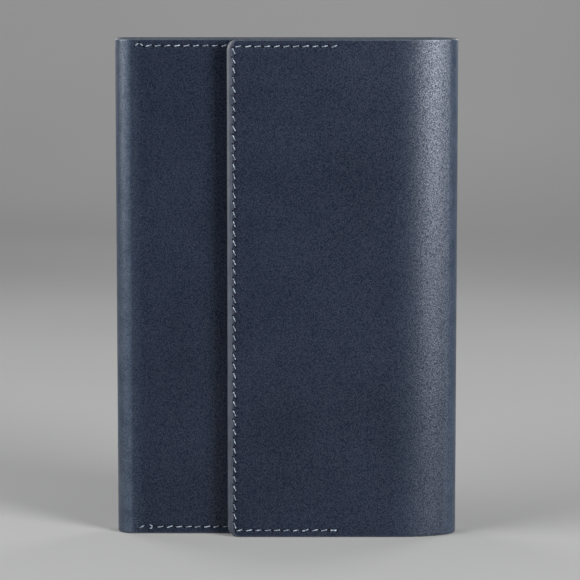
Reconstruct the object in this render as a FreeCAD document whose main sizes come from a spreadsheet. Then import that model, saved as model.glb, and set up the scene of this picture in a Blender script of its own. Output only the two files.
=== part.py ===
import FreeCAD, Part
import Sketcher
import math
import os
import re

# Wrap-round leather folio holding a refill notebook, standing upright on its lower edges.
# One long strip of leather is folded round the book: back panel, spine and front cover on one side,
# fore-edge roll and overlapping flap on the other. Each stretch between two folds is its own piece.
# X runs across the cover (spine at minus X), Y runs from front to back and Z runs up.
# A depth is measured forward from the outer face of the back panel.

SIZES = [
    # outer leather strip
    ("leather_thickness", 1.6),
    ("head_margin", 7.5),
    ("corner_radius", 5),
    ("spine_radius", 7.5),
    ("fore_edge_room", 16.5),
    ("fore_edge_radius", 13),
    ("roll_radius", 8.6),
    ("roll_turn", 60),
    ("fold_relief", 1),
    ("flap_standoff", 8),
    ("flap_reach", 103.6),
    ("front_overlap", 34),
    ("facing_width", 50),
    ("facing_thickness", 1.8),
    # layers inside the covers
    ("stiffener_thickness", 1),
    ("pocket_thickness", 1.1),
    ("pocket_setback", 1.5),
    ("slip_gap", 0.1),
    # refill notebook
    ("page_width", 130),
    ("page_height", 210),
    ("section_thickness", 1.36),
    ("section_gap", 0.1),
    ("page_clearance", 0.5),
    ("card_thickness", 0.6),
    ("card_overhang", 0.3),
    ("strip_thickness", 0.5),
    # card slots on the inside of the front cover
    ("slot_thickness", 0.9),
    ("slot_width", 62),
    ("slot_height", 54),
    ("slot_spacing", 64),
    ("slot_edge_gap", 7),
    ("thumb_radius", 9),
    # hidden closing magnets
    ("magnet_diameter", 14),
    ("magnet_thickness", 0.9),
    ("magnet_clearance", 0.1),
    ("magnet_inset", 15),
    ("magnet_spacing", 70),
    # pen loop in the fore-edge channel
    ("pen_bore", 7.6),
    ("pen_wall", 0.8),
    ("pen_height", 45),
    ("pen_inset", 9.2),
    ("pen_rise", 120),
    ("pen_gap", 0.4),
    # thread
    ("stitch_length", 2.9),
    ("stitch_pitch", 4.3),
    ("stitch_width", 0.65),
    ("stitch_height", 0.35),
    ("stitch_inset", 3.2),
    ("narrow_inset", 1.6),
    ("stitch_lean", 22),
]
SECTION_COUNT = 5
MAGNET_ROWS = {"lower": -1, "middle": 0, "upper": 1}
SLOT_ROWS = {"lower": -1, "middle": 0, "upper": 1}

doc = FreeCAD.newDocument("folio")
sheet = doc.addObject("Spreadsheet::Sheet", "dims")
for row, (alias, value) in enumerate(SIZES, start=1):
    sheet.set(f"A{row}", alias)
    sheet.set(f"B{row}", str(value))
    sheet.setAlias(f"B{row}", alias)
doc.recompute()

# Depths of the layers, from the back panel's outer face forward to the flap's
CARD_ROOM = "(card_thickness + 2 * slip_gap)"
BACK_CARD_ROOM = "(leather_thickness + stiffener_thickness)"
BACK_POCKET = f"({BACK_CARD_ROOM} + {CARD_ROOM})"
BACK_LINING = f"({BACK_POCKET} + pocket_thickness)"
PAGES = f"({BACK_LINING} + page_clearance)"
PAGES_END = f"({PAGES} + {SECTION_COUNT} * section_thickness + {SECTION_COUNT - 1} * section_gap)"
FRONT_CARD = f"({PAGES_END} + slip_gap)"
FRONT_CARD_END = f"({FRONT_CARD} + card_thickness)"
FRONT_SLOTS = f"({FRONT_CARD_END} + page_clearance)"
FRONT_POCKET = f"({FRONT_SLOTS} + slot_thickness)"
FRONT_STIFFENER = f"({FRONT_POCKET} + pocket_thickness)"
FRONT_LEATHER = f"({FRONT_STIFFENER} + stiffener_thickness)"
FRONT_FACE = f"({FRONT_LEATHER} + leather_thickness)"
FLAP_FACE = f"({FRONT_FACE} + flap_standoff)"
FLAP_LEATHER = f"({FLAP_FACE} - leather_thickness)"
FLAP_FACING = f"({FLAP_LEATHER} - facing_thickness)"
BACK_Y = f"({FLAP_FACE} / 2)"

# Places across and up the cover
RIGHT = "((spine_radius + page_width + fore_edge_room) / 2)"
LEFT = f"(-{RIGHT})"
SPINE_LINE = f"({LEFT} + spine_radius)"
FORE_LINE = f"({RIGHT} - fore_edge_radius)"
POCKET_START = f"({SPINE_LINE} + pocket_setback)"
PAGE_EDGE = f"({SPINE_LINE} + page_width)"
CARD_START = f"({SPINE_LINE} - card_overhang)"
CARD_EDGE = f"({PAGE_EDGE} + card_overhang)"
FLAP_EDGE = f"({RIGHT} - flap_reach)"
FRONT_EDGE = f"({FLAP_EDGE} + front_overlap)"
MAGNET_X = f"({FLAP_EDGE} + magnet_inset)"
ROLL_X = f"({RIGHT} - roll_radius)"
PEN_X = f"({RIGHT} - pen_inset)"
PEN_RADIUS = "(pen_bore / 2 + pen_wall)"
PEN_DEPTH = f"({BACK_LINING} + {PEN_RADIUS})"
HEIGHT = "(page_height + 2 * head_margin)"
MIDDLE = f"({HEIGHT} / 2)"
CARD_BASE = "(head_margin - card_overhang)"
CARD_TOP = f"({HEIGHT} - {CARD_BASE})"

# The flap leaves the roll on a wide arc that ends flush with the flap's outer face
FAR_RADIUS = f"(({FLAP_FACE} - fore_edge_radius - roll_radius * sin(roll_turn)) / (1 - sin(roll_turn)))"
FAR_X = f"({ROLL_X} - ({FAR_RADIUS} - roll_radius) * cos(roll_turn))"
FAR_DEPTH = f"({FLAP_FACE} - {FAR_RADIUS})"

UP = FreeCAD.Vector(0, 0, 1)
HALF_BEND = "(45 - fold_relief)"
FUNCTIONS = ("sin", "cos")
sub_parts = []


def bind(obj, **values):
    """Ties properties of an object to the sheet; two underscores in a name stand for a dot."""
    for name, expression in values.items():
        cells = re.sub(r"[a-z_]+", lambda m: m[0] if m[0] in FUNCTIONS else f"dims.{m[0]}", expression)
        obj.setExpression(name.replace("__", "."), cells)
    return obj


def place(obj, x, depth, z):
    """Moves an object's origin to a place across the cover, a depth and a height."""
    return bind(obj, Placement__Base__x=x, Placement__Base__y=f"{BACK_Y} - {depth}", Placement__Base__z=z)


def keep(obj, label):
    """Marks an object as one of the finished pieces."""
    obj.Label = label
    sub_parts.append(obj)
    return obj


def slab(name, x_from, x_to, depth_from, depth_to, z_from="0", z_to=HEIGHT):
    box = doc.addObject("Part::Box", name)
    bind(box, Length=f"{x_to} - {x_from}", Width=f"{depth_to} - {depth_from}", Height=f"{z_to} - {z_from}")
    return place(box, x_from, depth_to, z_from)


def cylinder(name, x, depth, z, radius, height):
    """An upright cylinder."""
    return place(bind(doc.addObject("Part::Cylinder", name), Radius=radius, Height=height), x, depth, z)


def disc(name, x, depth, z, radius, thickness):
    """A flat disc that faces the front, reaching forward from a depth by its thickness."""
    flat = bind(doc.addObject("Part::Cylinder", name), Radius=radius, Height=thickness)
    flat.Placement = FreeCAD.Placement(FreeCAD.Vector(), FreeCAD.Rotation(FreeCAD.Vector(1, 0, 0), 90))
    return place(flat, x, depth, z)


def cut(name, base, tool):
    obj = doc.addObject("Part::Cut", name)
    obj.Base = base
    obj.Tool = tool
    return obj


def fuse(name, shapes):
    obj = doc.addObject("Part::MultiFuse", name)
    obj.Shapes = shapes
    obj.Refine = True
    return obj


def group(name, shapes):
    obj = doc.addObject("Part::Compound", name)
    obj.Links = shapes
    return obj


def bend(name, x, depth, radius, first, sweep):
    """Leather bent round an upright line: a sector of a tube from a first angle through a sweep."""
    solid = cylinder(f"{name}_outer", x, depth, "0", radius, HEIGHT)
    solid.Placement.Rotation = FreeCAD.Rotation(UP, 1)
    bind(solid, Angle=sweep, Placement__Rotation__Angle=first)
    core = cylinder(f"{name}_core", x, depth, "0", f"{radius} - leather_thickness", HEIGHT)
    return cut(name, solid, core)


def rounded_plate(name, width, thickness):
    """A full-height plate that runs from a free edge with rounded corners along +X, and forward along -Y."""
    wide, tall, corner = 40, 60, 5
    body = doc.addObject("PartDesign::Body", name)
    sketch = body.newObject("Sketcher::SketchObject", f"{name}_outline")
    plane = next(f for f in body.Origin.OriginFeatures if f.Role == "XZ_Plane")
    sketch.AttachmentSupport = (plane, [""])
    sketch.MapMode = "FlatFace"

    def line(x_from, z_from, x_to, z_to):
        ends = FreeCAD.Vector(x_from, z_from, 0), FreeCAD.Vector(x_to, z_to, 0)
        return sketch.addGeometry(Part.LineSegment(*ends), False)

    def arc(z, first):
        circle = Part.Circle(FreeCAD.Vector(corner, z, 0), UP, corner)
        return sketch.addGeometry(Part.ArcOfCircle(circle, first, first + math.pi / 2), False)

    bottom = line(corner, 0, wide, 0)
    side = line(wide, 0, wide, tall)
    top = line(wide, tall, corner, tall)
    upper = arc(tall - corner, math.pi / 2)
    edge = line(0, tall - corner, 0, corner)
    lower = arc(corner, math.pi)
    for rule in (
        ("Coincident", bottom, 2, side, 1),
        ("Coincident", side, 2, top, 1),
        ("Tangent", top, 2, upper, 1),
        ("Tangent", upper, 2, edge, 1),
        ("Tangent", edge, 2, lower, 1),
        ("Tangent", lower, 2, bottom, 1),
        ("Horizontal", bottom),
        ("Horizontal", top),
        ("Vertical", side),
        ("Vertical", edge),
        ("Equal", upper, lower),
        ("PointOnObject", edge, 1, -2),
        ("PointOnObject", bottom, 2, -1),
    ):
        sketch.addConstraint(Sketcher.Constraint(*rule))
    for label, rule in (
        ("wide", ("DistanceX", -1, 1, side, 1, wide)),
        ("tall", ("DistanceY", side, 1, side, 2, tall)),
        ("corner", ("Radius", upper, corner)),
    ):
        sketch.renameConstraint(sketch.addConstraint(Sketcher.Constraint(*rule)), label)
    bind(sketch, Constraints__wide=width, Constraints__tall=HEIGHT, Constraints__corner="corner_radius")
    pad = body.newObject("PartDesign::Pad", f"{name}_pad")
    pad.Profile = sketch
    bind(pad, Length=thickness)
    return body


def flap_plate(name, width, depth, thickness):
    """A plate whose free edge is the flap's, at the left."""
    return place(rounded_plate(name, width, thickness), FLAP_EDGE, depth, "0")


def cover_plate(name, far_edge, depth, thickness):
    """A plate whose free edge is the front cover's, at the right, so it is turned half round."""
    plate = rounded_plate(name, f"{FRONT_EDGE} - {far_edge}", thickness)
    plate.Placement.Rotation = FreeCAD.Rotation(UP, 180)
    return place(plate, FRONT_EDGE, f"({depth} + {thickness})", "0")


def magnet_discs(name, depth, thickness, clearance="0"):
    """One disc for each closing magnet, or its hole when a clearance is given."""
    return group(name, [
        disc(f"{name}_{place_name}", MAGNET_X, depth, f"{MIDDLE} + {step} * magnet_spacing",
             f"(magnet_diameter / 2 + {clearance})", thickness)
        for place_name, step in MAGNET_ROWS.items()
    ])


# The folded leather strip
def back_panel():
    flat = slab("back_flat", SPINE_LINE, FORE_LINE, "0", "leather_thickness")
    to_spine = bend("back_to_spine", SPINE_LINE, "spine_radius", "spine_radius", "90", HALF_BEND)
    to_roll = bend("back_to_roll", FORE_LINE, "fore_edge_radius", "fore_edge_radius",
                   "45 + fold_relief", HALF_BEND)
    return keep(fuse("back_leather", [flat, to_spine, to_roll]), "back_panel")


def spine_panel():
    front_bend = f"({FRONT_FACE} - spine_radius)"
    flat = slab("spine_flat", LEFT, f"({LEFT} + leather_thickness)", "spine_radius", front_bend)
    to_back = bend("spine_to_back", SPINE_LINE, "spine_radius", "spine_radius",
                   "135 + fold_relief", HALF_BEND)
    to_front = bend("spine_to_front", SPINE_LINE, front_bend, "spine_radius", "180", HALF_BEND)
    keep(fuse("spine_leather", [flat, to_back, to_front]), "spine_panel")


def front_panel():
    flat = cover_plate("front_flat", SPINE_LINE, FRONT_LEATHER, "leather_thickness")
    to_spine = bend("front_to_spine", SPINE_LINE, f"({FRONT_FACE} - spine_radius)", "spine_radius",
                    "225 + fold_relief", HALF_BEND)
    return keep(fuse("front_leather", [flat, to_spine]), "front_panel")


def fore_edge_panel():
    near = bend("roll_near_back", FORE_LINE, "fore_edge_radius", "fore_edge_radius", "0", HALF_BEND)
    turn = "(roll_turn - fold_relief)"
    crown = bend("roll_crown", ROLL_X, "fore_edge_radius", "roll_radius", f"360 - {turn}", turn)
    keep(fuse("roll_leather", [near, crown]), "fore_edge_panel")


def flap_panel():
    flat = flap_plate("flap_flat", f"{FAR_X} - {FLAP_EDGE}", FLAP_LEATHER, "leather_thickness")
    relief = f"fold_relief * roll_radius / {FAR_RADIUS}"
    shoulder = bend("flap_shoulder", FAR_X, FAR_DEPTH, FAR_RADIUS, "270", f"90 - roll_turn - {relief}")
    return keep(fuse("flap_leather", [flat, shoulder]), "flap_panel")


# Layers sewn to the flap
def flap_lining():
    plate = flap_plate("facing_plate", "facing_width", FLAP_FACING, "facing_thickness")
    recess = "(magnet_thickness + magnet_clearance)"
    holes = magnet_discs("facing_holes", f"({FLAP_LEATHER} - {recess})", recess, "magnet_clearance")
    facing = keep(cut("facing_leather", plate, holes), "flap_facing")
    discs = magnet_discs("flap_discs", f"({FLAP_LEATHER} - magnet_thickness)", "magnet_thickness")
    keep(discs, "flap_magnets")
    return facing


# Layers sewn to the front cover
def front_lining():
    board = cover_plate("front_board", POCKET_START, FRONT_STIFFENER, "stiffener_thickness")
    holes = magnet_discs("board_holes", FRONT_STIFFENER, "stiffener_thickness", "magnet_clearance")
    keep(cut("front_filler", board, holes), "front_stiffener")
    discs = magnet_discs("front_discs", f"({FRONT_LEATHER} - magnet_thickness)", "magnet_thickness")
    keep(discs, "front_magnets")
    return keep(cover_plate("front_sleeve", POCKET_START, FRONT_POCKET, "pocket_thickness"), "front_pocket")


def card_slots():
    right = f"({FRONT_EDGE} - slot_edge_gap)"
    slots = []
    for row_name, step in SLOT_ROWS.items():
        centre = f"({MIDDLE} + {step} * slot_spacing)"
        bottom = f"({centre} - slot_height / 2)"
        top = f"({centre} + slot_height / 2)"
        plate = slab(f"{row_name}_slot_plate", f"({right} - slot_width)", right, FRONT_SLOTS, FRONT_POCKET,
                     bottom, top)
        thumb = disc(f"{row_name}_thumb_notch", f"({right} - slot_width / 2)", FRONT_SLOTS, top,
                     "thumb_radius", "slot_thickness")
        slots.append(keep(cut(f"{row_name}_slot_leather", plate, thumb), f"{row_name}_card_slot"))
    return slots


# Layers sewn to the back panel
def back_lining():
    keep(slab("back_board", POCKET_START, FORE_LINE, "leather_thickness", BACK_CARD_ROOM), "back_stiffener")
    sleeve = slab("back_sleeve", POCKET_START, FORE_LINE, BACK_CARD_ROOM, BACK_LINING)
    card_room = slab("card_room", LEFT, f"({CARD_EDGE} + slip_gap)", BACK_CARD_ROOM, BACK_POCKET,
                     f"({CARD_BASE} - slip_gap)", f"({CARD_TOP} + slip_gap)")
    return keep(cut("back_pocket_leather", sleeve, card_room), "back_pocket")


def pen_loop():
    top = "(pen_rise + pen_height)"
    tail = slab("pen_tail", f"({CARD_EDGE} + pen_gap)", PEN_X, BACK_LINING, f"({BACK_LINING} + pen_wall)",
                "pen_rise", top)
    barrel = cylinder("pen_barrel", PEN_X, PEN_DEPTH, "pen_rise", PEN_RADIUS, "pen_height")
    bore = cylinder("pen_hole", PEN_X, PEN_DEPTH, "pen_rise", "(pen_bore / 2)", "pen_height")
    return keep(cut("pen_leather", fuse("pen_strip", [tail, barrel]), bore), "pen_loop")


# Refill notebook
def notebook():
    back_card = f"({BACK_CARD_ROOM} + slip_gap)"
    for name, depth in (("front", FRONT_CARD), ("back", back_card)):
        card = slab(f"{name}_card", CARD_START, CARD_EDGE, depth, f"({depth} + card_thickness)",
                    CARD_BASE, CARD_TOP)
        keep(card, f"notebook_{name}_card")
    strip = slab("strip", f"({CARD_START} - strip_thickness)", CARD_START, back_card, FRONT_CARD_END,
                 CARD_BASE, CARD_TOP)
    keep(strip, "notebook_spine")
    for step in range(SECTION_COUNT):
        page_section(step)


def page_section(step):
    """A folded gathering of leaves, rounded at its fold by the spine; the first is next to the front card."""
    number = SECTION_COUNT - step
    fold = "(section_thickness / 2)"
    depth = f"({PAGES} + {step} * (section_thickness + section_gap))"
    fold_x = f"({SPINE_LINE} + {fold})"
    leaves = slab(f"leaves_{number}", fold_x, PAGE_EDGE, depth, f"({depth} + section_thickness)",
                  "head_margin", f"({HEIGHT} - head_margin)")
    rounded = cylinder(f"leaf_fold_{number}", fold_x, f"({depth} + {fold})", "head_margin",
                       fold, "page_height")
    keep(fuse(f"gathering_{number}", [leaves, rounded]), f"page_section_{number}")


# Thread: each stitch is a flat round-ended bar lying on the leather
def stitch(x, y, z, angle, outward):
    length, width, height = sheet.stitch_length, sheet.stitch_width, sheet.stitch_height
    half = (length - width) / 2
    radius = width / 2
    signs = ((-1, 1), (1, 1), (1, -1), (-1, -1))
    corner = [FreeCAD.Vector(a * half, 0, b * radius) for a, b in signs]
    tip = FreeCAD.Vector(half + radius, 0, 0)
    outline = Part.Wire([
        Part.LineSegment(corner[0], corner[1]).toShape(),
        Part.Arc(corner[1], tip, corner[2]).toShape(),
        Part.LineSegment(corner[2], corner[3]).toShape(),
        Part.Arc(corner[3], -tip, corner[0]).toShape(),
    ])
    bar = Part.Face(outline).extrude(FreeCAD.Vector(0, outward * height, 0))
    turn = FreeCAD.Rotation(FreeCAD.Vector(0, -1, 0), angle)
    bar.Placement = FreeCAD.Placement(FreeCAD.Vector(x, y, z), turn)
    return bar


def seam(start, end, y, outward, lean=0):
    """Evenly spaced stitches between two (x, z) points on a face at y; lean tips each one, in degrees."""
    run_x = end[0] - start[0]
    run_z = end[1] - start[1]
    angle = math.degrees(math.atan2(run_z, run_x)) + lean
    count = round(math.hypot(run_x, run_z) / sheet.stitch_pitch)
    shares = [(step + 0.5) / count for step in range(count)]
    return [stitch(start[0] + s * run_x, y, start[1] + s * run_z, angle, outward) for s in shares]


def thread(label, stitches):
    obj = doc.addObject("Part::Feature", f"{label}_thread")
    obj.Shape = Part.makeCompound(stitches)
    keep(obj, label)


def edge_seams(plate, edge, far, inset, y, outward):
    """The seam along an upright free edge and the two that run from it along the top and bottom."""
    low = plate.ZMin + inset
    high = plate.ZMax - inset
    lean = -outward * sheet.stitch_lean
    return (seam((edge, low), (edge, high), y, outward, lean)
            + seam((edge, low), (far, low), y, outward)
            + seam((edge, high), (far, high), y, outward))


def flap_thread(panel, facing):
    outer, inner = panel.Shape.BoundBox, facing.Shape.BoundBox
    edge = outer.XMin + sheet.stitch_inset
    thread("flap_stitching", edge_seams(outer, edge, inner.XMax, sheet.stitch_inset, outer.YMin, -1)
           + edge_seams(outer, edge, inner.XMax, sheet.stitch_inset, inner.YMax, 1))


def front_thread(panel, pocket):
    outer, inner = panel.Shape.BoundBox, pocket.Shape.BoundBox
    edge = outer.XMax - sheet.stitch_inset
    thread("front_stitching", edge_seams(outer, edge, inner.XMin, sheet.stitch_inset, outer.YMin, -1)
           + edge_seams(outer, edge, inner.XMin, sheet.stitch_inset, inner.YMax, 1))


def back_thread(panel, pocket, loop):
    outer, inner, tail = panel.Shape.BoundBox, pocket.Shape.BoundBox, loop.Shape.BoundBox
    inset = sheet.stitch_inset
    edge = inner.XMax - sheet.narrow_inset
    low = inner.ZMin + inset
    high = inner.ZMax - inset
    rows = edge_seams(outer, edge, inner.XMin, inset, outer.YMax, 1)
    for z in (low, high):
        rows += seam((edge, z), (inner.XMin, z), inner.YMin, -1)
    gap = sheet.stitch_pitch
    rows += seam((edge, low + gap), (edge, tail.ZMin - gap / 2), inner.YMin, -1)
    rows += seam((edge, tail.ZMin), (edge, tail.ZMax), inner.YMin - sheet.pen_wall, -1)
    rows += seam((edge, tail.ZMax + gap / 2), (edge, high - gap), inner.YMin, -1)
    thread("back_stitching", rows)


def slot_thread(slots):
    rows = []
    inset = sheet.narrow_inset
    for slot in slots:
        face = slot.Shape.BoundBox
        left, right = face.XMin + inset, face.XMax - inset
        low, high = face.ZMin + inset, face.ZMax - inset
        gap = sheet.stitch_pitch / 2
        rows += seam((left, low + gap), (left, high), face.YMax, 1)
        rows += seam((right, low + gap), (right, high), face.YMax, 1)
        rows += seam((left, low), (right, low), face.YMax, 1)
    thread("card_slot_stitching", rows)


def main():
    back = back_panel()
    spine_panel()
    front = front_panel()
    fore_edge_panel()
    flap = flap_panel()
    facing = flap_lining()
    front_sleeve = front_lining()
    slots = card_slots()
    back_sleeve = back_lining()
    loop = pen_loop()
    notebook()
    doc.recompute()

    flap_thread(flap, facing)
    front_thread(front, front_sleeve)
    back_thread(back, back_sleeve, loop)
    slot_thread(slots)
    doc.recompute()

    for obj in doc.Objects:
        if "Invalid" in obj.State or "Error" in obj.State:
            raise RuntimeError(f"{obj.Label} failed to build: {obj.State}")
    for obj in sub_parts:
        if obj.Shape.isNull() or not obj.Shape.isValid():
            raise RuntimeError(f"{obj.Label} has no valid shape")
    os.makedirs("parts", exist_ok=True)
    for obj in sub_parts:
        obj.Shape.exportStep(f"parts/{obj.Label}.step")
        print(f"{obj.Label}: {len(obj.Shape.Solids)} solids, {obj.Shape.Volume:.1f} cubic mm")


main()
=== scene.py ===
import math
import random
from collections import namedtuple
from copy import copy

import bmesh
import bpy
from mathutils import Matrix, Vector


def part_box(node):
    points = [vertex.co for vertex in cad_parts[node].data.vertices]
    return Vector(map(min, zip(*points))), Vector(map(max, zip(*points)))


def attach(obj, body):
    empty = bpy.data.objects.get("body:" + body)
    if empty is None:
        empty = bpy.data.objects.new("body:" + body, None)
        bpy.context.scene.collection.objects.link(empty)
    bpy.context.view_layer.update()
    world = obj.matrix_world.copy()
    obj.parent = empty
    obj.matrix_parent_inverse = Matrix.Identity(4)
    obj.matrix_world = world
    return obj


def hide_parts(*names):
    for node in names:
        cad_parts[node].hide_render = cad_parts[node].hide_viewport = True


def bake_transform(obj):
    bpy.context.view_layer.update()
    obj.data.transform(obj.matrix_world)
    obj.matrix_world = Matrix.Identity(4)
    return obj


# A closed leather folio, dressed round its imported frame.
# Lengths are in metres. +Z is up, the flap faces -Y and the spine is at -X.

MM = 0.001
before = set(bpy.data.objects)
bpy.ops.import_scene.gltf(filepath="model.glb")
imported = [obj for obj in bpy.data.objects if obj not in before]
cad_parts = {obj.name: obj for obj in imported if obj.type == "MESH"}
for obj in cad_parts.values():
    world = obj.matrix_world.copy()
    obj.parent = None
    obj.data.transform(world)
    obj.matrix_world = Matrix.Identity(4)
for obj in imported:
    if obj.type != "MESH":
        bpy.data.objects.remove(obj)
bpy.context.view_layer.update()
dice = random.Random(7)

# Sizes of the leather strip: the radii are those of its outer face
SPINE_RADIUS = 7.5 * MM
FORE_RADIUS = 13 * MM
ROLL_RADIUS = 8.6 * MM
ROLL_TURN = math.radians(60)
QUARTER = math.radians(90)
CORNER = 5 * MM
SEAM_INSET = 3.2 * MM
POCKET_SEAM_INSET = 1.6 * MM
SEAM_WIDTH = 0.55 * MM
SEAM_DEPTH = 0.16 * MM

# Places that the frame gives
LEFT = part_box("spine_panel")[0].x
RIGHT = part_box("fore_edge_panel")[1].x
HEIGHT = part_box("back_panel")[1].z
BACK_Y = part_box("back_panel")[1].y
FRONT_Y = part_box("front_panel")[0].y
FLAP_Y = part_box("flap_panel")[0].y
FRONT_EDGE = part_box("front_panel")[1].x
FLAP_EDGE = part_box("flap_panel")[0].x
FACING_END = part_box("flap_facing")[1].x
POCKET_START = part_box("front_pocket")[0].x
BACK_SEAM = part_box("back_pocket")[1].x - POCKET_SEAM_INSET
SPINE_LINE = LEFT + SPINE_RADIUS
FORE_LINE = RIGHT - FORE_RADIUS
FORE_Y = BACK_Y - FORE_RADIUS

# A cut edge of the leather, as (distance in from the outline, depth below the outer face)
EDGE_PROFILE = [(inset * MM, depth * MM) for inset, depth in (
    (2.4, 0.0), (1.75, 0.05), (1.1, 0.17), (0.55, 0.38),
    (0.16, 0.68), (0.0, 1.02), (0.06, 1.35), (0.3, 1.6),
)]
# The upper and lower edges are rounded over this share of those distances
END_ROUNDING = 0.28
# Rows of the leather's mesh, as distances from the upper and lower edges
EDGE_ROWS = [offset * MM for offset in (0, 0.7, 1.4, 1.8, 2.15, 2.5, 2.85, 3.2, 3.7, 5, 8, 12)]
ROW_STEP = 9 * MM
FLAT_STEP = 5 * MM
BEND_STEP = math.radians(5)
CORNER_STEPS = 10
CUT_STRIP = 0.1 * MM
# The sheen painted on the bends is averaged over this distance either way along the strip
BEND_SHEEN_BLUR = 1.2 * MM

# Thread
PLY_RADIUS = 0.15 * MM
PLY_SPREAD = 0.11 * MM
PLY_TAPER = 0.25
PLY_TURNS = 1.25
PLY_SIDES = 6
PLY_STEPS = 10
STITCH_OVERRUN = 0.35 * MM
STITCH_RISE = 0.05 * MM
STITCH_DIP = 0.5 * MM
STITCH_DIVE = 3.5
# The disc of painted shade that stands for each pricked hole
HOLE_LENGTH = 0.5 * MM
HOLE_WIDTH = 0.36 * MM
HOLE_LIFT = 0.03 * MM
HOLE_SIDES = 8
LEAN_SPREAD = math.radians(2.5)
ROW_LEAN = math.radians(13)
TACK_LEAN = math.radians(26)
PEAK_LEAN = math.radians(36)
PEAK_RISE = 0.55 * MM
PEAK_SHARE = 0.62
LEVEL_SINE = 0.1
WELD = 0.001 * MM

# Notebook
SECTIONS = 5
LEAVES = 9
LEAF_GAP = 0.02 * MM
LEAF_SHIFT = 0.14 * MM
FOLD_SIDES = 12
WEAVE_SCALE = 420.0
WEAVE_WOBBLE = 0.6

# Material slots of the leather, and of the thread
GRAIN = 0
EDGE = 1
FLESH = 2
PLY = 0
HOLE_SHADE = 1

# Sockets of the Mix node for colours, which share their names with its other sockets
MIX_AMOUNT = 0
MIX_ONE = 6
MIX_TWO = 7
MIX_RESULT = 2

# The photograph's frame
FRAME_PIXELS = 580
FLAP_PIXELS = 506
CENTRE_PIXELS = 3.5
LOWERED_PIXELS = 1.2
CAMERA_DISTANCE = 1.25
CAMERA_RISE = 0.045
CAMERA_SHIFT = -0.05
SENSOR = 36

# The floor, which bends up into a backdrop
FLOOR_HALF_WIDTH = 4.0
FLOOR_FRONT = -3.0
FLOOR_BEND = 0.9
FLOOR_BEND_STEPS = 16
BACKDROP_Y = 2.2
BACKDROP_TOP = 3.5

# The boxes' sides keep their light off the floor close under them
SOFTBOX_SPREAD = math.radians(115)
SKY_COLOUR = (0.8, 0.82, 0.85, 1)
SKY_STRENGTH = 0.03


def mesh_object(name, vertices, faces, materials, slots=None, bend_sheen=None, smooth=True):
    """A mesh in the scene, with its faces turned outwards and perhaps, at each vertex, a weight for the
    sheen painted on the leather's bends.
    """
    mesh = bpy.data.meshes.new(name)
    mesh.from_pydata(vertices, [], faces)
    if bend_sheen:
        mesh.attributes.new("bend_sheen", "FLOAT", "POINT").data.foreach_set("value", bend_sheen)
    for finish in materials:
        mesh.materials.append(finish)
    if slots:
        mesh.polygons.foreach_set("material_index", slots)
    mesh.polygons.foreach_set("use_smooth", [smooth] * len(faces))
    shell = bmesh.new()
    shell.from_mesh(mesh)
    bmesh.ops.recalc_face_normals(shell, faces=shell.faces)
    shell.to_mesh(mesh)
    shell.free()
    obj = bpy.data.objects.new(name, mesh)
    bpy.context.scene.collection.objects.link(obj)
    return obj


def add_tube(vertices, faces, rings):
    """Adds a closed tube through rings that have the same number of points."""
    start = len(vertices)
    sides = len(rings[0])
    for ring in rings:
        vertices.extend(ring)
    for base in range(start, len(vertices) - sides, sides):
        for side in range(sides):
            one = base + side
            two = base + (side + 1) % sides
            faces.append((one, two, two + sides, one + sides))
    faces.append(tuple(range(start, start + sides)))
    faces.append(tuple(range(len(vertices) - sides, len(vertices))))


def circle(sides):
    """Cosine and sine at each corner of a regular polygon."""
    angles = [math.tau * side / sides for side in range(sides)]
    return [(math.cos(angle), math.sin(angle)) for angle in angles]


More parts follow.
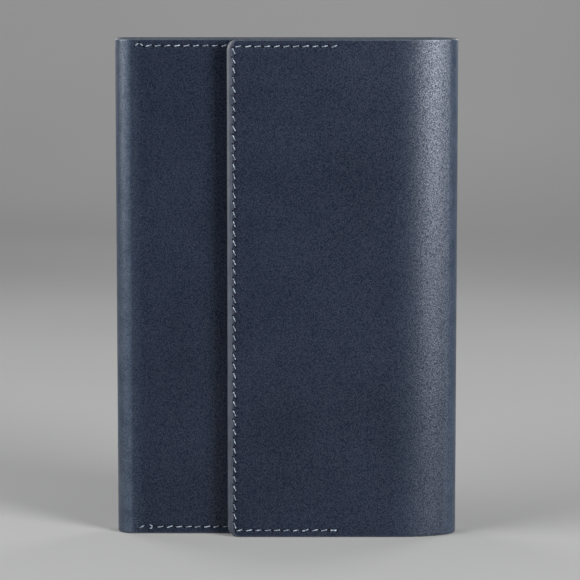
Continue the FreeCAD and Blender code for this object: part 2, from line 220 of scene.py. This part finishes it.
# Materials
class Finish:
    """A procedural material whose patterns are measured in millimetres."""

    def __init__(self, name, **values):
        self.material = bpy.data.materials.new(name)
        self.material.use_nodes = True
        self.tree = self.material.node_tree
        self.shader = self.tree.nodes["Principled BSDF"]
        self.place = self.tree.nodes.new("ShaderNodeTexCoord").outputs["Object"]
        self.shade(**values)

    def set(self, node, socket, value):
        target = node.inputs[socket.replace("_", " ")]
        if isinstance(value, bpy.types.NodeSocket):
            self.tree.links.new(value, target)
        else:
            target.default_value = value

    def shade(self, **values):
        """Sets or links sockets of the shader."""
        for socket, value in values.items():
            self.set(self.shader, socket, value)

    def node(self, kind, output, settings=None, **inputs):
        made = self.tree.nodes.new(kind)
        for name, value in (settings or {}).items():
            setattr(made, name, value)
        for socket, value in inputs.items():
            self.set(made, socket, value)
        return made.outputs[output]

    def stretched(self, x, y, z):
        return self.node("ShaderNodeMapping", "Vector", Vector=self.place, Scale=(x, y, z))

    def cloud(self, size, detail=3.0, roughness=0.55, vector=None):
        """Soft noise with features of about a size in millimetres."""
        return self.node("ShaderNodeTexNoise", "Fac", Vector=vector or self.place, Scale=1 / (size * MM),
                         Detail=detail, Roughness=roughness)

    def cells(self, size):
        """Soft cells of about a size in millimetres."""
        return self.node("ShaderNodeTexVoronoi", "Distance", {"feature": "SMOOTH_F1"}, Vector=self.place,
                         Scale=1 / (size * MM))

    def weave(self, direction):
        """Threads of a plain cloth, one beside the other in a direction."""
        return self.node("ShaderNodeTexWave", "Fac", {"bands_direction": direction}, Vector=self.place,
                         Scale=WEAVE_SCALE, Distortion=WEAVE_WOBBLE)

    def ramp(self, value, low, high):
        """Colours for a value between two stops, each given as (value, colour)."""
        made = self.tree.nodes.new("ShaderNodeValToRGB")
        self.tree.links.new(value, made.inputs["Fac"])
        for end, (position, colour) in zip(made.color_ramp.elements, (low, high)):
            end.position = position
            end.color = (*colour, 1)
        return made.outputs["Color"]

    def range(self, value, low, high):
        return self.node("ShaderNodeMapRange", "Result", Value=value, To_Min=low, To_Max=high)

    def mix(self, amount, one, two):
        """A blend of two colours."""
        made = self.tree.nodes.new("ShaderNodeMix")
        made.data_type = "RGBA"
        for index, value in ((MIX_AMOUNT, amount), (MIX_ONE, one), (MIX_TWO, two)):
            if isinstance(value, bpy.types.NodeSocket):
                self.tree.links.new(value, made.inputs[index])
            else:
                made.inputs[index].default_value = value if index == MIX_AMOUNT else (*value, 1)
        return made.outputs[MIX_RESULT]

    def multiply(self, one, two, amount):
        product = self.mix(amount, one, two)
        product.node.blend_type = "MULTIPLY"
        return product

    def bump(self, *heights):
        """Stacks bumps, each given as (height, strength, depth in millimetres)."""
        normal = None
        for height, strength, depth in heights:
            extra = {"Normal": normal} if normal else {}
            normal = self.node("ShaderNodeBump", "Normal", Height=height, Strength=strength,
                               Distance=depth * MM, **extra)
        self.shade(Normal=normal)


def grain_leather():
    """Smooth-tanned navy leather: cloudy colour, fine pebble grain, a soft gloss and a painted sheen on the
    bends.
    """
    finish = Finish("navy_leather", Specular_IOR_Level=0.85)
    cloud = finish.cloud(38, 4)
    pebbles = finish.cells(0.5)
    fine = finish.cloud(0.36, 1, 0.5)
    base = finish.ramp(cloud, (0.3, (0.0026, 0.0054, 0.0135)), (0.7, (0.0046, 0.0082, 0.0195)))
    specks = finish.ramp(fine, (0.36, (0.4, 0.42, 0.46)), (0.66, (1.6, 1.57, 1.5)))
    # Painted sheen: where the leather is bent, its colour is mixed towards a paler grey-blue, standing in
    # for the light's sheen on the bends
    bent = finish.node("ShaderNodeAttribute", "Fac", {"attribute_name": "bend_sheen"})
    pale = finish.ramp(finish.cloud(6, 3), (0.3, (0.016, 0.025, 0.042)), (0.7, (0.033, 0.044, 0.066)))
    tone = finish.mix(bent, finish.multiply(base, specks, 0.8), finish.multiply(pale, specks, 0.5))
    gloss = finish.ramp(pebbles, (0.25, (0.88, 0.93, 1.0)), (0.6, (0.24, 0.27, 0.33)))
    pores = finish.ramp(fine, (0.36, (0.4, 0.4, 0.44)), (0.6, (1.0, 1.0, 1.0)))
    finish.shade(Base_Color=tone, Specular_Tint=finish.multiply(gloss, pores, 1.0),
                 Roughness=finish.range(cloud, 0.36, 0.44))
    finish.bump((cloud, 0.12, 1.2), (pebbles, 0.3, -0.1), (fine, 0.3, 0.08))
    return finish.material


def edge_leather():
    """Burnished and waxed cut edge, a little paler than the face."""
    finish = Finish("leather_edge", Specular_IOR_Level=0.5)
    streaks = finish.cloud(2.2, 3, 0.6, finish.stretched(1, 1, 0.35))
    colour = finish.ramp(streaks, (0.3, (0.021, 0.027, 0.039)), (0.7, (0.04, 0.048, 0.064)))
    finish.shade(Base_Color=colour, Roughness=finish.range(streaks, 0.36, 0.52))
    finish.bump((streaks, 0.25, 0.1))
    return finish.material


def flesh_leather():
    """The leather's fuzzy inner side."""
    finish = Finish("leather_flesh", Specular_IOR_Level=0.25, Sheen_Weight=0.25, Sheen_Roughness=0.5)
    fibres = finish.cloud(0.8, 6, 0.75)
    nap = finish.cloud(9, 3)
    colour = finish.ramp(nap, (0.3, (0.03, 0.037, 0.055)), (0.7, (0.05, 0.058, 0.08)))
    finish.shade(Base_Color=colour, Roughness=finish.range(fibres, 0.78, 0.95))
    finish.bump((fibres, 0.6, 0.2))
    return finish.material


def lining_leather():
    """Thin smooth leather of the pockets, slots and facing."""
    finish = Finish("lining_leather", Specular_IOR_Level=0.45)
    cloud = finish.cloud(22, 4)
    pores = finish.cells(0.8)
    colour = finish.ramp(cloud, (0.3, (0.018, 0.023, 0.036)), (0.7, (0.03, 0.036, 0.052)))
    finish.shade(Base_Color=colour, Roughness=finish.range(pores, 0.42, 0.62))
    finish.bump((cloud, 0.1, 0.8), (pores, 0.4, 0.1))
    return finish.material


def board():
    """Grey bonded filler board."""
    finish = Finish("filler_board", Specular_IOR_Level=0.2)
    flecks = finish.cloud(0.7, 5, 0.7)
    colour = finish.ramp(flecks, (0.35, (0.06, 0.058, 0.056)), (0.65, (0.13, 0.125, 0.12)))
    finish.shade(Base_Color=colour, Roughness=finish.range(flecks, 0.8, 0.95))
    finish.bump((flecks, 0.4, 0.08))
    return finish.material


def magnet_steel():
    """Bright plated steel with fine turning marks."""
    finish = Finish("magnet_steel", Metallic=1.0)
    turning = finish.cloud(0.5, 4, 0.6, finish.stretched(1, 12, 1))
    colour = finish.ramp(turning, (0.3, (0.5, 0.5, 0.51)), (0.7, (0.63, 0.63, 0.64)))
    finish.shade(Base_Color=colour, Roughness=finish.range(turning, 0.24, 0.42))
    finish.bump((turning, 0.1, 0.03))
    return finish.material


def waxed_thread():
    """Pale grey-blue waxed thread."""
    finish = Finish("waxed_thread", Specular_IOR_Level=0.4, Sheen_Weight=0.2)
    fibres = finish.cloud(0.25, 4, 0.7)
    waxed = finish.ramp(finish.cloud(1.3, 1), (0.4, (0.3, 0.33, 0.38)), (0.58, (1.0, 1.0, 1.0)))
    colour = finish.ramp(fibres, (0.3, (0.17, 0.21, 0.26)), (0.7, (0.33, 0.38, 0.44)))
    finish.shade(Base_Color=finish.multiply(colour, waxed, 1.0), Roughness=finish.range(fibres, 0.45, 0.7))
    finish.bump((fibres, 0.4, 0.05))
    return finish.material


def needle_hole_shade():
    """Painted shade for the inside of a pricked hole, on a near-black disc."""
    finish = Finish("needle_hole_shade", Specular_IOR_Level=0.1)
    shade = finish.cloud(0.4)
    colour = finish.ramp(shade, (0.3, (0.002, 0.002, 0.003)), (0.7, (0.005, 0.006, 0.008)))
    finish.shade(Base_Color=colour, Roughness=finish.range(shade, 0.85, 1.0))
    return finish.material


def page_paper():
    """Cream uncoated paper with a faint tooth."""
    finish = Finish("page_paper", Specular_IOR_Level=0.25)
    tooth = finish.cloud(0.35, 4, 0.7)
    tone = finish.cloud(45, 3)
    colour = finish.ramp(tone, (0.3, (0.78, 0.73, 0.61)), (0.7, (0.84, 0.8, 0.69)))
    finish.shade(Base_Color=colour, Roughness=finish.range(tooth, 0.75, 0.92))
    finish.bump((tooth, 0.2, 0.03))
    return finish.material


def cover_card():
    """Matt slate card with a pressed linen texture."""
    finish = Finish("cover_card", Specular_IOR_Level=0.3)
    across = finish.cloud(0.9, 3, 0.6, finish.stretched(1, 1, 0.12))
    along = finish.cloud(0.9, 3, 0.6, finish.stretched(0.12, 1, 1))
    tone = finish.cloud(30, 3)
    colour = finish.ramp(tone, (0.3, (0.052, 0.062, 0.082)), (0.7, (0.07, 0.082, 0.105)))
    finish.shade(Base_Color=colour, Roughness=finish.range(across, 0.62, 0.8))
    finish.bump((across, 0.3, 0.06), (along, 0.3, 0.06))
    return finish.material


def spine_cloth():
    """Plain-woven book cloth."""
    finish = Finish("spine_cloth", Specular_IOR_Level=0.25, Sheen_Weight=0.15)
    weft = finish.weave("Z")
    warp = finish.weave("Y")
    colour = finish.mix(weft, (0.02, 0.025, 0.036), (0.04, 0.047, 0.062))
    finish.shade(Base_Color=colour, Roughness=finish.range(warp, 0.75, 0.9))
    finish.bump((weft, 0.5, 0.06), (warp, 0.5, 0.06))
    return finish.material


def studio_grey():
    """Pale matt floor, mottled very faintly."""
    finish = Finish("studio_floor", Specular_IOR_Level=0.2, Roughness=0.85)
    tone = finish.cloud(600, 2)
    colour = finish.ramp(tone, (0.3, (0.26, 0.26, 0.26)), (0.7, (0.285, 0.285, 0.285)))
    finish.shade(Base_Color=colour)
    return finish.material


# The folded leather strip
Run = namedtuple("Run", "start length curvature point outward")


class Strip:
    """The strip's outer face in plan, followed from the front cover's free edge round to the flap's."""

    def __init__(self, start):
        self.runs = []
        self.length = 0.0
        self.point = Vector(start)
        self.outward = Vector((0, -1))

    def straight(self, length):
        self.add(length, 0.0)

    def turn(self, radius, angle):
        self.add(radius * angle, 1 / radius)

    def add(self, length, curvature):
        run = Run(self.length, length, curvature, self.point, self.outward)
        self.runs.append(run)
        self.point, self.outward = self.along(run, length)
        self.length += length

    @staticmethod
    def along(run, distance):
        if not run.curvature:
            return run.point + distance * Vector((run.outward.y, -run.outward.x)), run.outward
        turned = Matrix.Rotation(-distance * run.curvature, 2) @ run.outward
        return run.point + (turned - run.outward) / run.curvature, turned

    def run_at(self, distance):
        return next((run for run in self.runs if distance <= run.start + run.length), self.runs[-1])

    def at(self, distance):
        """The outer face's point and outward direction at a distance along the strip."""
        run = self.run_at(distance)
        return self.along(run, distance - run.start)

    def bend_sheen(self, distance):
        """How hard the leather is bent here, from 0 where it is flat to 1 at the tightest bend; it weights
        the sheen painted on the bends.
        """
        bends = [self.run_at(distance + side * BEND_SHEEN_BLUR).curvature for side in (-1, 0, 1)]
        return SPINE_RADIUS * sum(bends) / len(bends)

    def stations(self, first, last):
        """Distances along the strip from first to last, closer together round the bends."""
        low, high = sorted((first, last))
        marks = {low, low + CUT_STRIP, high - CUT_STRIP, high}
        for run in self.runs:
            bend_steps = math.ceil(run.length * run.curvature / BEND_STEP)
            steps = bend_steps or math.ceil(run.length / FLAT_STEP)
            marks.update(run.start + run.length * step / steps for step in range(steps + 1))
        return sorted((mark for mark in marks if low <= mark <= high), reverse=last < first)


def folded_strip():
    """The strip, with the distances along it of the middles of its spine, back and roll."""
    strip = Strip((FRONT_EDGE, FRONT_Y))
    flap_depth = FORE_Y - FLAP_Y
    far_radius = (flap_depth - ROLL_RADIUS * math.sin(ROLL_TURN)) / (1 - math.sin(ROLL_TURN))
    strip.straight(FRONT_EDGE - SPINE_LINE)
    strip.turn(SPINE_RADIUS, QUARTER)
    spine_start = strip.length
    strip.straight(BACK_Y - FRONT_Y - 2 * SPINE_RADIUS)
    spine_middle = (spine_start + strip.length) / 2
    strip.turn(SPINE_RADIUS, QUARTER)
    back_start = strip.length
    strip.straight(FORE_LINE - SPINE_LINE)
    back_middle = (back_start + strip.length) / 2
    strip.turn(FORE_RADIUS, QUARTER)
    roll_middle = strip.length
    strip.turn(ROLL_RADIUS, ROLL_TURN)
    strip.turn(far_radius, QUARTER - ROLL_TURN)
    strip.straight(strip.point.x - FLAP_EDGE)
    return strip, spine_middle, back_middle, roll_middle


def row_shares():
    """Heights of the mesh rows as shares of the leather's height, closer together near its edges."""
    inner = HEIGHT - 2 * EDGE_ROWS[-1]
    steps = math.ceil(inner / ROW_STEP)
    middle = [EDGE_ROWS[-1] + inner * step / steps for step in range(1, steps)]
    upper = [HEIGHT - row for row in reversed(EDGE_ROWS)]
    return [row / HEIGHT for row in EDGE_ROWS + middle + upper]


def outline_distance(edge_gap, z):
    """How far a point lies inside an outline with rounded corners at its free edge."""
    end_gap = min(z, HEIGHT - z)
    if edge_gap < CORNER and end_gap < CORNER:
        return CORNER - math.hypot(CORNER - edge_gap, CORNER - end_gap)
    return min(edge_gap, end_gap)


def front_seam_gap(edge_gap, x, z):
    """Distance from the front cover's seam, which ends at the pocket's mouth."""
    return abs(outline_distance(edge_gap, z) - SEAM_INSET) if x > POCKET_START else math.inf


def flap_seam_gap(edge_gap, x, z):
    """Distance from the flap's seam, which ends with the facing."""
    return abs(outline_distance(edge_gap, z) - SEAM_INSET) if x < FACING_END else math.inf


def back_seam_gap(_edge_gap, x, z):
    """Distance from the seam round the back pocket."""
    along = abs(min(z, HEIGHT - z) - SEAM_INSET)
    return min(along, abs(x - BACK_SEAM)) if POCKET_START < x < BACK_SEAM + SEAM_INSET else math.inf


def mesh_columns(marks, inset, free):
    """Each column's distance from the first end and the height at which it starts, for an inset."""
    low = inset * END_ROUNDING
    if not free:
        return [(mark, low) for mark in marks]
    across, along = CORNER - inset, CORNER - low
    angles = [QUARTER * step / CORNER_STEPS for step in range(CORNER_STEPS + 1)]
    rounded = [(CORNER - across * math.cos(a), CORNER - along * math.sin(a)) for a in angles]
    return rounded + [(mark, low) for mark in marks if mark > CORNER + FLAT_STEP / 4]


def edge_chains(end, top, free):
    """The worked edges as rows of mesh spots: one row round a free end, or else two."""
    lower = [(i, 0) for i in range(end + 1)]
    upper = [(i, top) for i in range(end + 1)]
    edge = [(0, j) for j in range(1, top)]
    return [lower[::-1] + edge + upper] if free else [lower, upper]


def sheet_faces(layer, end, top):
    """Faces all over one side of the leather."""
    return [[layer[spot] for spot in ((i, j), (i + 1, j), (i + 1, j + 1), (i, j + 1))]
            for i in range(end) for j in range(top)]


def edge_faces(layers, chains):
    """Faces from layer to layer round the worked edges."""
    faces = []
    for over, under in zip(layers, layers[1:]):
        for chain in chains:
            faces += [[over[one], over[two], under[two], under[one]] for one, two in zip(chain, chain[1:])]
    return faces


def cut_face(layers, column, top):
    """The face that closes a length of leather where the next length goes on."""
    return ([layers[0][column, j] for j in range(top + 1)]
            + [layer[column, top] for layer in layers[1:-1]]
            + [layers[-1][column, j] for j in range(top, -1, -1)]
            + [layer[column, 0] for layer in layers[-2:0:-1]])


def leather_piece(name, strip, first, last, free, seam_gap, materials):
    """A closed length of the strip; a free first end has rounded corners and a worked edge."""
    sign = 1 if last > first else -1
    marks = [abs(mark - first) for mark in strip.stations(first, last)]
    shares = row_shares()
    top = len(shares) - 1
    end = len(mesh_columns(marks, 0, free)) - 1
    chains = edge_chains(end, top, free)
    around = sum(chains, [])
    all_over = [(i, j) for i in range(end + 1) for j in range(top + 1)]
    # Each vertex also keeps how strongly the sheen painted on the bends shows there
    vertices, bend_sheen = [], []

    def vertex(column, share, depth, pressed):
        gap, low = column
        z = low + (HEIGHT - 2 * low) * share
        point, outward = strip.at(first + sign * gap)
        if pressed:
            depth += SEAM_DEPTH * math.exp(-(seam_gap(gap, point.x, z) / SEAM_WIDTH) ** 2)
        place = point - outward * depth
        vertices.append((place.x, place.y, z))
        bend_sheen.append(strip.bend_sheen(first + sign * gap))
        return len(vertices) - 1

    layers = []
    for number, (inset, depth) in enumerate(EDGE_PROFILE):
        columns = mesh_columns(marks, inset, free)
        outer = number == 0
        inner = number == len(EDGE_PROFILE) - 1
        spots = all_over if outer or inner else around
        layers.append({(i, j): vertex(columns[i], shares[j], depth, outer) for i, j in spots})
    face = sheet_faces(layers[0], end, top)
    back = sheet_faces(layers[-1], end, top)
    edges = edge_faces(layers, chains)
    cuts = [cut_face(layers, column, top) for column in ((end,) if free else (0, end))]
    slots = [GRAIN] * len(face) + [FLESH] * len(back) + [EDGE] * len(edges) + [FLESH] * len(cuts)
    return mesh_object(name, vertices, face + back + edges + cuts, materials, slots, bend_sheen)


def leather_strip(materials):
    """Four lengths of leather, each of which bends at one fold; they meet where they move as one body."""
    strip, spine_middle, back_middle, roll_middle = folded_strip()
    front = leather_piece("leather_front", strip, 0.0, spine_middle, True, front_seam_gap, materials)
    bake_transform(front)
    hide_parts("front_panel")
    left = leather_piece("leather_spine", strip, spine_middle, back_middle, False, back_seam_gap, materials)
    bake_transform(left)
    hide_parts("spine_panel", "back_panel")
    right = leather_piece("leather_back", strip, back_middle, roll_middle, False, back_seam_gap, materials)
    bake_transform(right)
    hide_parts("back_panel", "fore_edge_panel")
    flap = leather_piece("leather_flap", strip, strip.length, roll_middle, True, flap_seam_gap, materials)
    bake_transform(flap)
    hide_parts("flap_panel", "fore_edge_panel")


# Thread
class Stitch:
    """One stitch: its middle on the leather, its angle on the face and the way out of the leather."""

    def __init__(self, points, outward):
        low = Vector(map(min, *points))
        high = Vector(map(max, *points))
        self.middle = (low + high) / 2
        self.middle.y = high.y if outward < 0 else low.y
        tip = max(points, key=self.end_order)
        along = Vector((tip.x - self.middle.x, 0, tip.z - self.middle.z))
        self.length = 2 * along.length
        self.angle = math.atan2(along.z, along.x)
        self.outward = outward

    def end_order(self, point):
        """Puts the point furthest from the middle last, and settles which of two equal ends that is."""
        distance = (point.x - self.middle.x) ** 2 + (point.z - self.middle.z) ** 2
        return distance, point.x, point.z

    def leant(self, angle):
        """A copy that is tipped on the face, as seen from outside the leather."""
        tipped = copy(self)
        tipped.angle = self.angle - self.outward * angle
        return tipped

    def level(self):
        return abs(math.sin(self.angle)) < LEVEL_SINE

    def place(self, u, v, w):
        """A point from its distances along, across and out of the face."""
        cosine, sine = math.cos(self.angle), math.sin(self.angle)
        return (self.middle.x + u * cosine - v * sine, self.middle.y + self.outward * w,
                self.middle.z + u * sine + v * cosine)


def stitches_of(node, outward=None):
    """A packed thread node's stitches; without outward, each faces the side that it lies on."""
    mesh = bmesh.new()
    mesh.from_mesh(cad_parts[node].data)
    bmesh.ops.remove_doubles(mesh, verts=mesh.verts, dist=WELD)
    low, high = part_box(node)
    middle = (low.y + high.y) / 2
    left = set(mesh.verts)
    found = []
    while left:
        todo = [left.pop()]
        points = []
        while todo:
            vert = todo.pop()
            points.append(vert.co.copy())
            near = {edge.other_vert(vert) for edge in vert.link_edges} & left
            left -= near
            todo += near
        found.append(Stitch(points, outward or (-1 if points[0].y < middle else 1)))
    mesh.free()
    return sorted(found, key=lambda s: (s.outward, round(s.middle.z, 4), round(s.middle.x, 4), s.middle.y))


def ply_rings(stitch, reach, twist):
    """Rings of points along one ply, which dives into the leather at both ends."""
    rings = []
    for step in range(PLY_STEPS):
        share = 2 * step / (PLY_STEPS - 1) - 1
        turn = twist + share * PLY_TURNS * math.pi
        rise = STITCH_RISE - STITCH_DIP * abs(share) ** STITCH_DIVE
        radius = PLY_RADIUS * (1 - PLY_TAPER * share * share)
        across = PLY_SPREAD * math.cos(turn)
        out = rise + PLY_SPREAD * math.sin(turn)
        rings.append([stitch.place(share * reach, across + radius * cosine, out + radius * sine)
                      for cosine, sine in circle(PLY_SIDES)])
    return rings


def hole_shade_rings(stitch, along):
    """The two rims of a thin disc in the leather's face, painted near-black as the shade inside a pricked
    hole.
    """
    return [[stitch.place(along + HOLE_LENGTH * cosine, HOLE_WIDTH * sine, lift)
             for cosine, sine in circle(HOLE_SIDES)] for lift in (HOLE_LIFT, -HOLE_LIFT)]


def thread_mesh(name, stitches, materials):
    """Two twisted plies for each stitch, and at each of its ends a disc of painted shade for a pricked
    hole.
    """
    vertices, faces, slots = [], [], []
    for stitch in stitches:
        stitch = stitch.leant(dice.gauss(0, LEAN_SPREAD))
        reach = stitch.length / 2 + STITCH_OVERRUN
        twist = dice.uniform(0, math.tau)
        for ply_twist in (twist, twist + math.pi):
            add_tube(vertices, faces, ply_rings(stitch, reach, ply_twist))
        slots += [PLY] * (len(faces) - len(slots))
        for along in (-reach, reach):
            add_tube(vertices, faces, hole_shade_rings(stitch, along))
        slots += [HOLE_SHADE] * (len(faces) - len(slots))
    return mesh_object(name, vertices, faces, materials, slots)


def short_stitch(stitch, lean, shift, rise):
    """A shortened copy of a stitch, leant and moved along and above its row."""
    half = stitch.leant(lean)
    half.length = PEAK_SHARE * stitch.length
    half.middle = stitch.middle + Vector((shift, 0, rise))
    return half


def peak(stitch):
    """Two short stitches in place of one, which meet above the row."""
    shift = stitch.length / 3
    return [short_stitch(stitch, -end * PEAK_LEAN, end * shift, PEAK_RISE) for end in (-1, 1)]


def chevron(stitch):
    """Two short stitches in place of one, which meet at its right."""
    return [short_stitch(stitch, -side * PEAK_LEAN, 0, side * PEAK_RISE) for side in (-1, 1)]


def tacked(row, upper, fore_end):
    """A level row of stitches, with the thread doubled back where the row ends."""
    row = sorted(row, key=lambda s: s.middle.x, reverse=fore_end)
    plain = [s.leant(ROW_LEAN) for s in row[1:]]
    if upper and fore_end:
        return [row[0].leant(TACK_LEAN)] + plain
    if upper:
        return peak(row[0]) + plain
    if fore_end:
        return [row[0].leant(ROW_LEAN), row[0].leant(-ROW_LEAN)] + plain
    return [row[0].leant(TACK_LEAN)] + chevron(row[1]) + plain[1:]


def seam(node, body, materials, fore_end=None, outward=None):
    """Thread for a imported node; fore_end says at which end the outer level rows are tacked."""
    stitches = stitches_of(node, outward)
    level = [s for s in stitches if s.level()]
    dressed = [s for s in stitches if not s.level()]
    shown = [s for s in level if s.outward < 0 and fore_end is not None]
    dressed += [s.leant(ROW_LEAN) for s in level if s not in shown]
    for upper in (False, True):
        row = [s for s in shown if (s.middle.z > HEIGHT / 2) == upper]
        dressed += tacked(row, upper, fore_end) if row else []
    thread = thread_mesh(node.replace("stitching", "thread"), dressed, materials)
    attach(thread, body)
    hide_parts(node)


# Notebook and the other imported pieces
def page_section(number, finish):
    """A folded gathering: leaves that end a little unevenly, and the round fold that joins them."""
    low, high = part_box(f"page_section_{number}")
    radius = (high.y - low.y) / 2
    thickness = (high.y - low.y) / LEAVES
    root = low.x + radius
    vertices, faces = [], []
    for leaf in range(LEAVES):
        edge = high.x - abs(dice.gauss(0, LEAF_SHIFT))
        foot = low.z + abs(dice.gauss(0, LEAF_SHIFT))
        head = high.z - abs(dice.gauss(0, LEAF_SHIFT))
        near = low.y + leaf * thickness + LEAF_GAP / 2
        far = near + thickness - LEAF_GAP
        corners = [(root, foot), (edge, foot), (edge, head), (root, head)]
        add_tube(vertices, faces, [[(x, y, z) for x, z in corners] for y in (near, far)])
    angles = [math.pi * (0.5 + side / FOLD_SIDES) for side in range(FOLD_SIDES + 1)]
    fold = [(root + radius * math.cos(a), low.y + radius + radius * math.sin(a)) for a in angles]
    add_tube(vertices, faces, [[(x, y, z) for x, y in fold] for z in (low.z, high.z)])
    leaves = mesh_object(f"page_leaves_{number}", vertices, faces, [finish], smooth=False)
    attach(leaves, "back_cover")
    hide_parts(f"page_section_{number}")


def dress_nodes(names, finish):
    """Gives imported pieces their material."""
    for name in names:
        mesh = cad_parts[name].data
        mesh.materials.clear()
        mesh.materials.append(finish)


def packed_pieces():
    """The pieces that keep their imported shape."""
    lined = ["flap_facing", "front_pocket", "back_pocket", "pen_loop"]
    lined += [f"{row}_card_slot" for row in ("lower", "middle", "upper")]
    dress_nodes(lined, lining_leather())
    dress_nodes(["front_stiffener", "back_stiffener"], board())
    dress_nodes(["flap_magnets", "front_magnets"], magnet_steel())
    dress_nodes(["notebook_front_card", "notebook_back_card"], cover_card())
    dress_nodes(["notebook_spine"], spine_cloth())


# Floor, light and camera
def floor():
    """A pale floor that sweeps up into a backdrop behind the object."""
    bend_y = BACKDROP_Y - FLOOR_BEND
    angles = [QUARTER * step / FLOOR_BEND_STEPS for step in range(1, FLOOR_BEND_STEPS + 1)]
    profile = [(FLOOR_FRONT, 0.0), (bend_y, 0.0)]
    profile += [(bend_y + FLOOR_BEND * math.sin(a), FLOOR_BEND - FLOOR_BEND * math.cos(a)) for a in angles]
    profile.append((BACKDROP_Y, BACKDROP_TOP))
    vertices = [(x, y, z) for x in (-FLOOR_HALF_WIDTH, FLOOR_HALF_WIDTH) for y, z in profile]
    count = len(profile)
    faces = [(i, i + 1, count + i + 1, count + i) for i in range(count - 1)]
    mesh_object("studio_floor", vertices, faces, [studio_grey()])


def softbox(name, place, aim, size, watts, spread=SOFTBOX_SPREAD):
    """A rectangular lamp that faces a point."""
    lamp = bpy.data.lights.new(name, "AREA")
    lamp.shape = "RECTANGLE"
    lamp.size, lamp.size_y = size
    lamp.energy = watts
    lamp.spread = spread
    obj = bpy.data.objects.new(name, lamp)
    obj.location = place
    obj.rotation_euler = (Vector(aim) - Vector(place)).to_track_quat("-Z", "Y").to_euler()
    bpy.context.scene.collection.objects.link(obj)


def studio_light():
    """A box at each side in front, a weaker one at each side behind, and one for the backdrop."""
    top = (0, 0, HEIGHT)
    softbox("left_strip", (-0.7, -0.34, 0.5), top, size=(0.75, 0.7), watts=6.0)
    softbox("right_strip", (0.74, -0.73, 0.44), top, size=(0.46, 0.64), watts=10.4)
    softbox("left_rear", (-0.7, 0.75, 0.6), top, size=(0.5, 0.7), watts=2.4)
    softbox("right_rear", (0.7, 0.75, 0.6), top, size=(0.5, 0.7), watts=2.4)
    softbox("backdrop_light", (0, 0.6, 1.5), (0, 2.2, 0.92), size=(1.8, 0.6), watts=34, spread=math.pi)
    world = bpy.data.worlds.new("studio")
    world.use_nodes = True
    sky = world.node_tree.nodes["Background"]
    sky.inputs["Color"].default_value = SKY_COLOUR
    sky.inputs["Strength"].default_value = SKY_STRENGTH
    bpy.context.scene.world = world
    bpy.context.scene.view_settings.view_transform = "Standard"


def camera():
    """Stands a little above the upper edge; the shift keeps the uprights nearly parallel."""
    metres_per_pixel = HEIGHT / FLAP_PIXELS
    width = FRAME_PIXELS * metres_per_pixel
    lens = bpy.data.cameras.new("camera")
    lens.sensor_width = SENSOR
    lens.lens = SENSOR * CAMERA_DISTANCE / width
    lens.shift_y = CAMERA_SHIFT
    obj = bpy.data.objects.new("camera", lens)
    x = CENTRE_PIXELS * metres_per_pixel
    obj.location = (x, FLAP_Y - CAMERA_DISTANCE, HEIGHT + CAMERA_RISE)
    aim_z = HEIGHT / 2 - CAMERA_SHIFT * width + LOWERED_PIXELS * metres_per_pixel
    aim = Vector((x, FLAP_Y, aim_z))
    obj.rotation_euler = (aim - obj.location).to_track_quat("-Z", "Y").to_euler()
    bpy.context.scene.collection.objects.link(obj)
    bpy.context.scene.camera = obj


def main():
    thread = [waxed_thread(), needle_hole_shade()]
    paper = page_paper()
    leather_strip([grain_leather(), edge_leather(), flesh_leather()])
    seam("flap_stitching", "flap", thread, fore_end=True)
    seam("front_stitching", "front_cover", thread, fore_end=False)
    seam("back_stitching", "back_cover", thread)
    seam("card_slot_stitching", "front_cover", thread, outward=1)
    for number in range(1, SECTIONS + 1):
        page_section(number, paper)
    packed_pieces()
    floor()
    studio_light()
    camera()


main()
